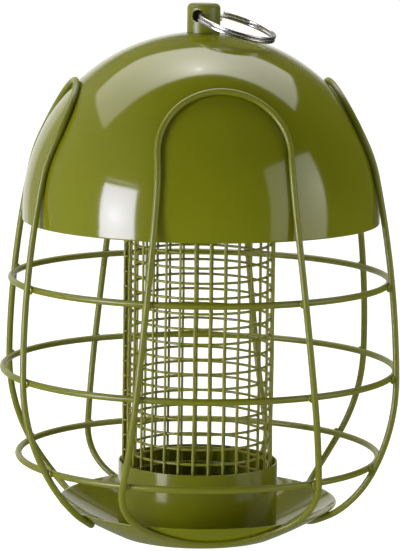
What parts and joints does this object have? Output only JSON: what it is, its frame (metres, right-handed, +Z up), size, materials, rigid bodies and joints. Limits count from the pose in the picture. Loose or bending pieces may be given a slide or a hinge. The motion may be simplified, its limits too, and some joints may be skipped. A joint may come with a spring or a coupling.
{
  "type": "bird feeder",
  "caption": "Acorn-shaped caged bird feeder: a mesh nut tube in a cup on a seed tray, under a lift-off domed roof with a stalk and a split ring to hang it by.",
  "frame": {"origin": "middle of the tray's flat underside, on the feeder's upright axis", "axes": "+Z up along the mesh tube, front loop of the cage towards -Y, +X to the right seen from the front"},
  "size_m": [0.1992, 0.1992, 0.2655],
  "materials": {
    "roof_paint": "gloss enamel",
    "cage_paint": "gloss enamel on round wire",
    "tray_paint": "gloss enamel",
    "mesh_paint": "gloss enamel on welded mesh",
    "bright_wire": "bright nickel plate",
    "screw_steel": "plain zinc plate"
  },
  "bodies": {
    "base": {"right_loop": "cage_paint", "back_loop": "cage_paint", "left_loop": "cage_paint", "front_loop": "cage_paint", "middle_ring": "cage_paint", "bottom_ring": "cage_paint", "seed_tray": "tray_paint", "feed_cup": "tray_paint", "tube_uprights": "mesh_paint", "lower_hoops": "mesh_paint", "upper_hoops": "mesh_paint", "tube_seam": "mesh_paint"},
    "roof": {"roof_dome": "roof_paint", "roof_stalk": "roof_paint", "stalk_screw": "screw_steel", "stalk_washer": "screw_steel", "right_arch": "cage_paint", "back_arch": "cage_paint", "left_arch": "cage_paint", "front_arch": "cage_paint", "top_ring": "cage_paint"},
    "hanging_ring": {"hanging_ring": "bright_wire"}
  },
  "joints": [
    {"name": "roof_lift", "type": "slide", "parent": "base", "child": "roof", "axis": [0, 0, 1], "range_m": [0, 0.13]},
    {"name": "ring_swing", "type": "hinge", "parent": "roof", "child": "hanging_ring", "pos_m": [0, 0, 0.2594], "axis": [-0.5, -0.866, 0], "range_deg": [-3.5, 216.5]}
  ]
}
